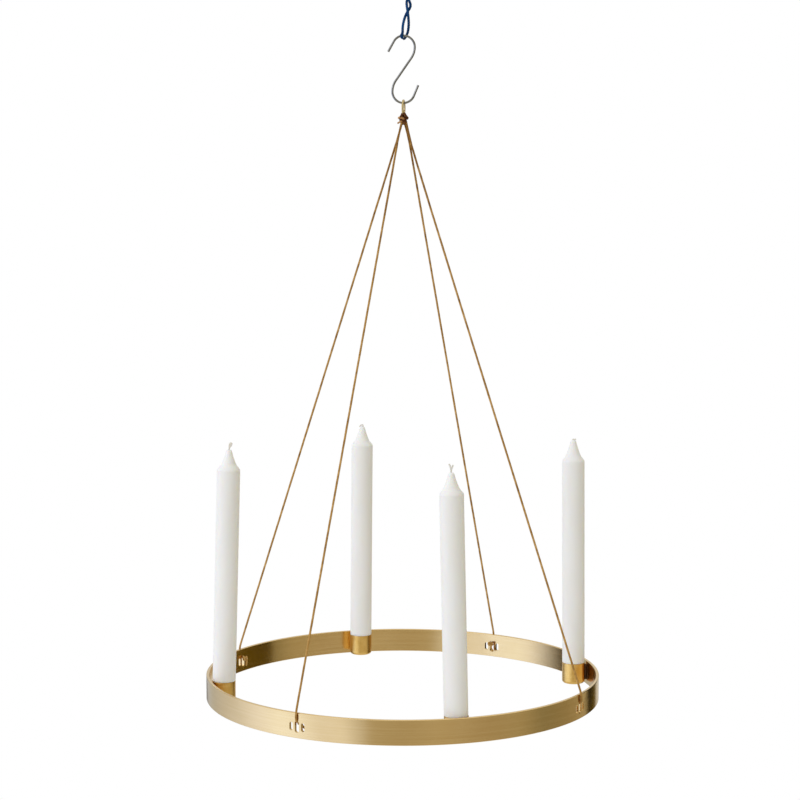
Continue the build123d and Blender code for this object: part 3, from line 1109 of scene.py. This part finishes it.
@dataclass
class GatheringKnot:
    """The leather knot that holds the four cords under the ring."""

    strand: float = 1.9
    pressed: float = 1.6
    swollen: float = 2.1
    uneven_length: float = 3.0
    saddle_half_gap: float = 0.7
    shoulder_half_gap: float = 0.75
    arch_half_gap: float = 1.05
    core_steps: tuple[tuple[float, float], ...] = ((0.45, -2.6), (0.6, -5.0))
    shoulder: tuple[Triple, ...] = (
        (-4.0, 0.0, -3.4), (-3.3, 0.0, -2.2), (-2.2, 0.0, -0.9), (-1.8, 0.0, 0.4), (-1.1, 0.0, 1.8),
        (1.1, 0.0, 1.8), (1.8, 0.0, 0.4), (2.3, 0.0, -0.8), (3.5, 0.0, -2.0), (4.1, 0.0, -3.4),
    )
    saddle: tuple[Triple, ...] = (
        (-0.7, 0.0, -3.2), (-1.5, 0.0, -1.6), (-1.75, 0.0, -0.2), (-1.3, 0.0, 1.4),
        (1.3, 0.0, 1.4), (1.75, 0.0, -0.2), (1.5, 0.0, -1.6), (0.7, 0.0, -3.2),
    )
    arch: tuple[Triple, ...] = (
        (-2.6, 0.0, -3.8), (-2.0, 0.0, -2.6), (-0.9, 0.0, -1.7),
        (0.9, 0.0, -1.7), (2.0, 0.0, -2.6), (2.6, 0.0, -3.8),
    )
    brow: tuple[Triple, ...] = (
        (-2.9, -2.4, -3.2), (-2.2, -3.6, -1.5), (-0.6, -4.8, 0.4), (1.1, -5.2, 1.0), (2.0, -5.0, 0.7),
        (2.9, -4.4, -0.5), (4.0, -3.2, -1.9), (4.5, -1.6, -3.0),
    )
    stub: tuple[Triple, ...] = (
        (0.4, -0.6, -5.4), (-1.0, -2.0, -5.7), (-2.2, -2.6, -6.1), (-3.7, -2.5, -6.9), (-5.2, -2.2, -7.8),
    )
    painted_lit_turn: tuple[Triple, ...] = (
        (-2.6, 1.2, -3.1), (-4.3, 0.2, -3.0), (-4.3, -1.4, -2.7), (-2.7, -2.8, -2.3), (-1.0, -3.1, -2.7),
        (0.5, -2.4, -3.5), (0.9, -1.2, -4.2),
    )
    painted_shade_wraps: tuple[KnotWrap, ...] = (
        KnotWrap(3.7, 2.2, 3.1, 0.15, 2.0, 0.6),
        KnotWrap(2.75, 2.3, 4.75, -0.4, -2.0, 2.2),
        KnotWrap(2.1, 2.1, 6.35, 0.7, 5.0, 1.2),
        KnotWrap(1.75, 1.8, 7.75, 0.8, 7.0, 3.4),
    )

    def build(self, finishes: Finishes) -> None:
        """Build the knot from its loops, wraps, core and cut end, the pale strands first, in leather paler
        at the cut end and painted as lit, and the rest in near-black leather painted as shade.

        Args:
            finishes: the materials.
        """
        maker = TubeMaker()
        section = CordSection(self.strand / 2, uneven=0.10, uneven_length=self.uneven_length)
        loop = CordSection(self.pressed / 2, uneven=0.08, uneven_length=self.uneven_length)
        swollen = CordSection(self.swollen / 2, uneven=0.10, uneven_length=self.uneven_length)
        maker.add(self._line(self.painted_lit_turn), swollen, 3.0)
        maker.add(self._line(self.stub), loop, 7.0)
        for index, side in enumerate((-1.0, 1.0)):
            maker.add(self._beside(self.saddle, side * self.saddle_half_gap), loop, 20.0 + index)
        # From here the strands are in the near-black copy of the leather, painted shade.
        maker.finish_index = 1
        for index, side in enumerate((-1.0, 1.0)):
            maker.add(self._beside(self.shoulder, side * self.shoulder_half_gap), loop, float(index))
            maker.add(self._beside(self.arch, side * self.arch_half_gap), section, 10.0 + index)
        maker.add(self._line(self.brow), loop, 30.0)
        for index, turn in enumerate(self.painted_shade_wraps):
            maker.add(self._line(turn.points()), section, 4.0 + index)
        for index, leg in enumerate(LEGS):
            x, y, z = leg.start
            core = [(share * x, share * y, height) for share, height in self.core_steps]
            core.append((x, y, z - RING_BOTTOM))
            maker.add([self._place(point) for point in core], section, 13.0 + index)
        knot = maker.finish("gathering_knot", finishes.cut_and_painted_lit_leather, finishes.painted_shade_leather)
        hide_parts("top_knot")
        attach(knot, "hoop_body")
        LOG.info("%s: loops, wraps, a core and a cut end", knot.name)

    def _beside(self, points: Sequence[Triple], depth: float) -> list[Vector]:
        """A loop's smooth line, moved to a depth beside the ring's middle."""
        return self._line((x, depth, z) for x, _, z in points)

    def _place(self, point: Triple) -> Vector:
        """A point below the ring's lower wire, in metres in the row's frame."""
        return Vector((point[0], point[1], RING_BOTTOM + point[2])) * MM

    def _line(self, points: Iterable[Triple]) -> list[Vector]:
        """A smooth line in the plane that the ring turns the loops to."""
        turn = Matrix.Rotation(math.radians(RING_TURN), 3, "Z")
        return nurbs_line([self._place(turn @ Vector(point)) for point in points], steps=10)


@dataclass
class LeatherLeg:
    """One leather cord from the gathering knot over the hoop's edge into its slot, and its stop knot."""

    corner: Corner
    start: Triple
    gather: tuple[Triple, ...]
    tail: tuple[Triple, ...]
    mirrored: bool = False
    diameter: float = 2.0
    length: float = 0.573
    approach_reach: float = 188.2
    approach_rise: float = 9.4
    edge_reach: float = 191.3
    edge_rise: float = 0.5
    slot_reach: float = 186.7
    slot_drop: float = 0.3
    knot_reach: float = 184.4
    knot_drop: float = 1.6
    knot_scale: float = 0.86
    knot_gap: float = 0.62
    knot_steps: int = 16

    def build(self, leather: Material) -> None:
        """Build the cord and its stop knot.

        Args:
            leather: the cord's finish.
        """
        section = CordSection(self.diameter / 2, sides=12, uneven=0.10, uneven_length=5.0)
        knot = self._knot(leather, section)
        line = nurbs_line(self._route(), steps=48)
        maker = TubeMaker()
        maker.add(line, section, CORNER_ANGLES[self.corner])
        cord = maker.finish(f"leather_{self.corner.value}", leather)
        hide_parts(f"leather_cord_{self.corner.value}")
        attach(cord, "hoop_body")
        LOG.info("%s: a taut leather cord", cord.name)

    def _route(self) -> list[Vector]:
        """The cord's control points, with one near each end of its long straight stretch.

        Returns:
            The points, in metres.
        """
        angle = CORNER_ANGLES[self.corner]
        entry = CORD_ENTRY - self.slot_drop
        return metres((
            self.start,
            *self.gather,
            polar(angle, self.approach_reach, HOOP_TOP + self.approach_rise),
            polar(angle, self.edge_reach, HOOP_TOP + self.edge_rise),
            polar(angle, self.edge_reach, entry),
            polar(angle, self.slot_reach, entry),
        ))

    def _knot(self, leather: Material, section: CordSection) -> bpy.types.Object:
        """Build the overhand knot on the hoop's inner face.

        Args:
            leather: the cord's finish.
            section: the cord's cross-section.

        Returns:
            The knot piece.
        """
        turn = math.radians(CORNER_ANGLES[self.corner])
        inward = Vector((-math.cos(turn), -math.sin(turn), 0.0))
        across = Vector((math.sin(turn), -math.cos(turn), 0.0)) * (-1.0 if self.mirrored else 1.0)
        up = Vector((0.0, 0.0, 1.0))
        centre = -inward * self.knot_reach + up * (CORD_ENTRY - self.knot_drop)
        points = [(-0.2, self.knot_drop - 0.4, -2.3), (-0.6, 0.2, -1.8)]
        for step in range(self.knot_steps + 1):
            done = (FULL_TURN - 2.0 * self.knot_gap) * step / self.knot_steps
            angle = 3.0 * math.pi - self.knot_gap - done
            points.append((
                self.knot_scale * (math.sin(angle) + 2.0 * math.sin(2.0 * angle)),
                self.knot_scale * (math.cos(angle) - 2.0 * math.cos(2.0 * angle)),
                -self.knot_scale * math.sin(3.0 * angle),
            ))
        points.extend(self.tail)
        placed = [(centre + across * x + up * y + inward * z) * MM for x, y, z in points]
        maker = TubeMaker()
        maker.add(nurbs_line(placed, steps=8), section, 20.0 + turn)
        knot = maker.finish(f"end_knot_{self.corner.value}", leather)
        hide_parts(f"stop_knot_{self.corner.value}")
        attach(knot, "hoop_body")
        LOG.info("%s: an overhand knot with a short tail", knot.name)
        return knot


@dataclass
class Hoop:
    """The flat brushed brass hoop."""

    band: str = "hoop_band"

    def build(self, brass: Material) -> None:
        """Dress the hoop."""
        dress(self.band, brass)


@dataclass
class MagnetCup:
    """A drawn brass cup and the magnet pad behind it."""

    side: Side

    def build(self, finishes: Finishes) -> None:
        """Dress the cup and its magnet."""
        dress(f"cup_{self.side.value}", finishes.cup)
        dress(f"magnet_{self.side.value}", finishes.magnet)


@dataclass
class Candle:
    """A dinner candle with a flared tip, a trimmed foot and its wick."""

    side: Side
    length: float
    lean: float
    strands: tuple[tuple[Triple, ...], ...]
    wick_radius: float = 0.8
    radius: float = 11.0
    foot_radius: float = 10.1
    foot_length: float = 19.8
    foot_bottom: float = -712.0
    foot_rounding: float = 2.6
    cup_rim: float = -692.6
    rim_gap: float = 0.12
    rim_band: float = 1.5
    tip_stretch: float = 1.0
    sides: int = 72
    body_steps: int = 24
    moulded_from: float = -19.0
    moulded_uneven: float = 0.022
    drawn_uneven: float = 0.004
    uneven_round: float = 1.4
    uneven_along: float = 0.16
    tip: tuple[tuple[float, float], ...] = (
        (0.0, 0.9), (-0.25, 1.7), (-0.8, 2.4), (-1.7, 2.9), (-3.0, 3.2), (-4.6, 3.62), (-6.4, 4.16),
        (-8.2, 4.75), (-10.0, 5.42), (-11.8, 6.12), (-13.4, 6.8), (-14.8, 7.55), (-16.0, 8.4),
        (-17.0, 9.25), (-17.9, 10.0), (-18.6, 10.45), (-19.3, 10.82), (-20.0, 10.97), (-20.8, 11.0),
    )

    def build(self, finishes: Finishes) -> None:
        """Build the wax and the wick and seat them in the cup.

        Args:
            finishes: the materials.
        """
        half_foot = self.foot_length / 2
        pivot = Vector(polar(CUP_ANGLES[self.side], CUP_ORBIT, self.foot_bottom + half_foot)) * MM
        top = Matrix.Translation((0.0, 0.0, (self.length - half_foot) * MM))
        seat = Matrix.Translation(pivot) @ Matrix.Rotation(math.radians(self.lean), 4, "Y") @ top
        wax = self._wax(finishes.wax)
        wick = self._wick(finishes.wick)
        for piece, node, slot in ((wax, "candle", "wax"), (wick, "wick", "wick")):
            piece.matrix_world = seat
            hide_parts(f"{node}_{self.side.value}")
            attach(piece, f"candle_{self.side.value}_body")
            LOG.info("%s: on cup_%s", piece.name, self.side.value)

    def _outline(self) -> list[tuple[float, float]]:
        """The candle's profile from its tip down.

        Returns:
            Heights below the tip and radii, in millimetres.
        """
        rim = self._rim()
        foot = -self.length
        tip = [(height * self.tip_stretch, radius) for height, radius in self.tip]
        low = tip[-1][0]
        run = (rim + 1.0 - low) / self.body_steps
        body = [(low + run * step, self.radius) for step in range(1, self.body_steps + 1)]
        seat = [
            (rim + 0.3, self.radius - 0.03),
            (rim + 0.05, self.radius - 0.2),
            (rim, self.foot_radius + 0.3),
            (rim - 0.3, self.foot_radius),
            (foot + self.foot_rounding, self.foot_radius),
        ]
        rounding = [
            (foot + self.foot_rounding * (1.0 - math.sin(turn)),
             self.foot_radius - self.foot_rounding * (1.0 - math.cos(turn)))
            for turn in (math.radians(degrees) for degrees in (22.5, 45.0, 67.5, 90.0))
        ]
        return [*tip, *body, *seat, *rounding]

    def _rim(self) -> float:
        """The height at which the wax stands on the cup's rim, below the tip."""
        return self.cup_rim + self.rim_gap - self.foot_bottom - self.length

    def _wax(self, material: Material) -> bpy.types.Object:
        """Turn the profile into a slightly uneven body of wax.

        Args:
            material: the wax.

        Returns:
            The wax piece, with its tip at the origin.
        """
        mesh = bmesh.new()
        seed = 7.0 * CUP_ANGLES[self.side]
        rim = self._rim()
        lean = math.tan(math.radians(self.lean))
        rings = []
        for height, radius in self._outline():
            ring = []
            for step in range(self.sides):
                angle = FULL_TURN * step / self.sides
                x = math.cos(angle) * self.uneven_round
                y = math.sin(angle) * self.uneven_round
                spot = Vector((x, y + seed, height * self.uneven_along))
                share = self.moulded_uneven if height > self.moulded_from else self.drawn_uneven
                reach = radius * (1.0 + share * noise.noise(spot))
                level = reach * math.cos(angle) * lean if abs(height - rim) < self.rim_band else 0.0
                point = Vector((math.cos(angle) * reach, math.sin(angle) * reach, height + level))
                ring.append(mesh.verts.new(point * MM))
            rings.append(ring)
        for upper, lower in zip(rings, rings[1:]):
            for step in range(self.sides):
                after = (step + 1) % self.sides
                mesh.faces.new((upper[step], lower[step], lower[after], upper[after]))
        mesh.faces.new(rings[0])
        mesh.faces.new(rings[-1][::-1])
        return finish_mesh(mesh, f"wax_{self.side.value}", material)

    def _wick(self, material: Material) -> bpy.types.Object:
        """Build the strands of wick that show above the tip.

        Args:
            material: the cotton.

        Returns:
            The wick piece, with the candle's tip at the origin.
        """
        section = CordSection(self.wick_radius, sides=15, strands=3, groove=0.16, lay_length=4.0,
                              uneven=0.10, uneven_length=1.5)
        maker = TubeMaker()
        for index, strand in enumerate(self.strands):
            maker.add(nurbs_line(metres(strand), steps=10), section, float(index))
        return maker.finish(f"wick_braid_{self.side.value}", material)


CANDLES: tuple[Candle, ...] = (
    Candle(Side.RIGHT, 241.5, -0.6, (
        ((-0.6, 0.0, -3.0), (-1.0, 0.0, -0.8), (-0.6, 0.0, 0.25), (1.0, 0.0, 0.45), (2.7, 0.0, 0.4)),),
        tip_stretch=1.08),
    Candle(Side.BACK, 239.0, 0.4, (
        ((0.5, 0.0, -3.0), (0.8, 0.0, 0.4), (0.4, 0.0, 1.9), (-1.0, 0.0, 1.7), (-2.1, 0.0, 0.9),
         (-2.9, 0.0, -0.1)),)),
    Candle(Side.LEFT, 242.0, 1.6, (
        ((0.0, 0.0, -3.0), (0.1, 0.0, 1.6), (0.3, 0.0, 4.2), (1.1, 0.0, 6.4), (2.7, 0.0, 5.6),
         (1.8, 0.0, 3.6), (0.9, 0.0, 2.2)),)),
    Candle(Side.FRONT, 239.0, -1.4, (
        ((0.0, 0.0, -3.0), (0.0, 0.0, 1.6), (-0.3, 0.0, 3.6), (-1.0, 0.0, 6.0), (-1.6, 0.0, 7.4)),
        ((0.1, 0.0, 0.6), (0.2, 0.0, 2.2), (0.9, 0.0, 4.2), (1.6, 0.0, 5.8), (1.8, 0.0, 6.4)),)),
)
LEGS: tuple[LeatherLeg, ...] = (
    LeatherLeg(Corner.BACK_RIGHT, (1.0, 1.5, -163.4), ((4.3, 4.3, -174.0), (8.2, 11.3, -196.0)),
               ((0.9, -3.4, 0.9), (1.8, -5.2, 0.4), (3.0, -6.8, 0.1))),
    LeatherLeg(Corner.BACK_LEFT, (-1.4, 1.3, -163.4), ((-5.2, 3.7, -177.0), (-8.8, 5.9, -189.0)),
               ((1.1, -3.4, 0.9), (1.6, -5.2, 0.6), (1.4, -7.0, 0.3))),
    LeatherLeg(Corner.FRONT_LEFT, (-1.9, -1.6, -163.4), ((-4.9, -5.9, -177.0), (-6.8, -9.7, -189.0)),
               ((2.0, -2.8, 0.6), (4.2, -4.0, 0.2), (6.2, -5.4, 0.0)), mirrored=True),
    LeatherLeg(Corner.FRONT_RIGHT, (2.7, -1.3, -163.4), ((5.0, -3.3, -174.0), (10.6, -7.1, -196.0)),
               ((0.9, -3.4, 0.9), (1.4, -5.2, 0.5), (2.2, -6.8, 0.2)), mirrored=True),
)


def main() -> None:
    """Build the camera, the cords and then every other piece, in order."""
    logging.basicConfig(level=logging.INFO, format="%(name)s: %(message)s")
    PhotoCamera().build()
    finishes = Finishes()
    BlueHanger().build(finishes.blue)
    GatheringKnot().build(finishes)
    for leg in LEGS:
        leg.build(finishes.leather)
    HookAndRing().build(finishes)
    Hoop().build(finishes.hoop)
    for side in Side:
        MagnetCup(side).build(finishes)
    for candle in CANDLES:
        candle.build(finishes)
    Studio().build()


if __name__ == "__main__":
    main()
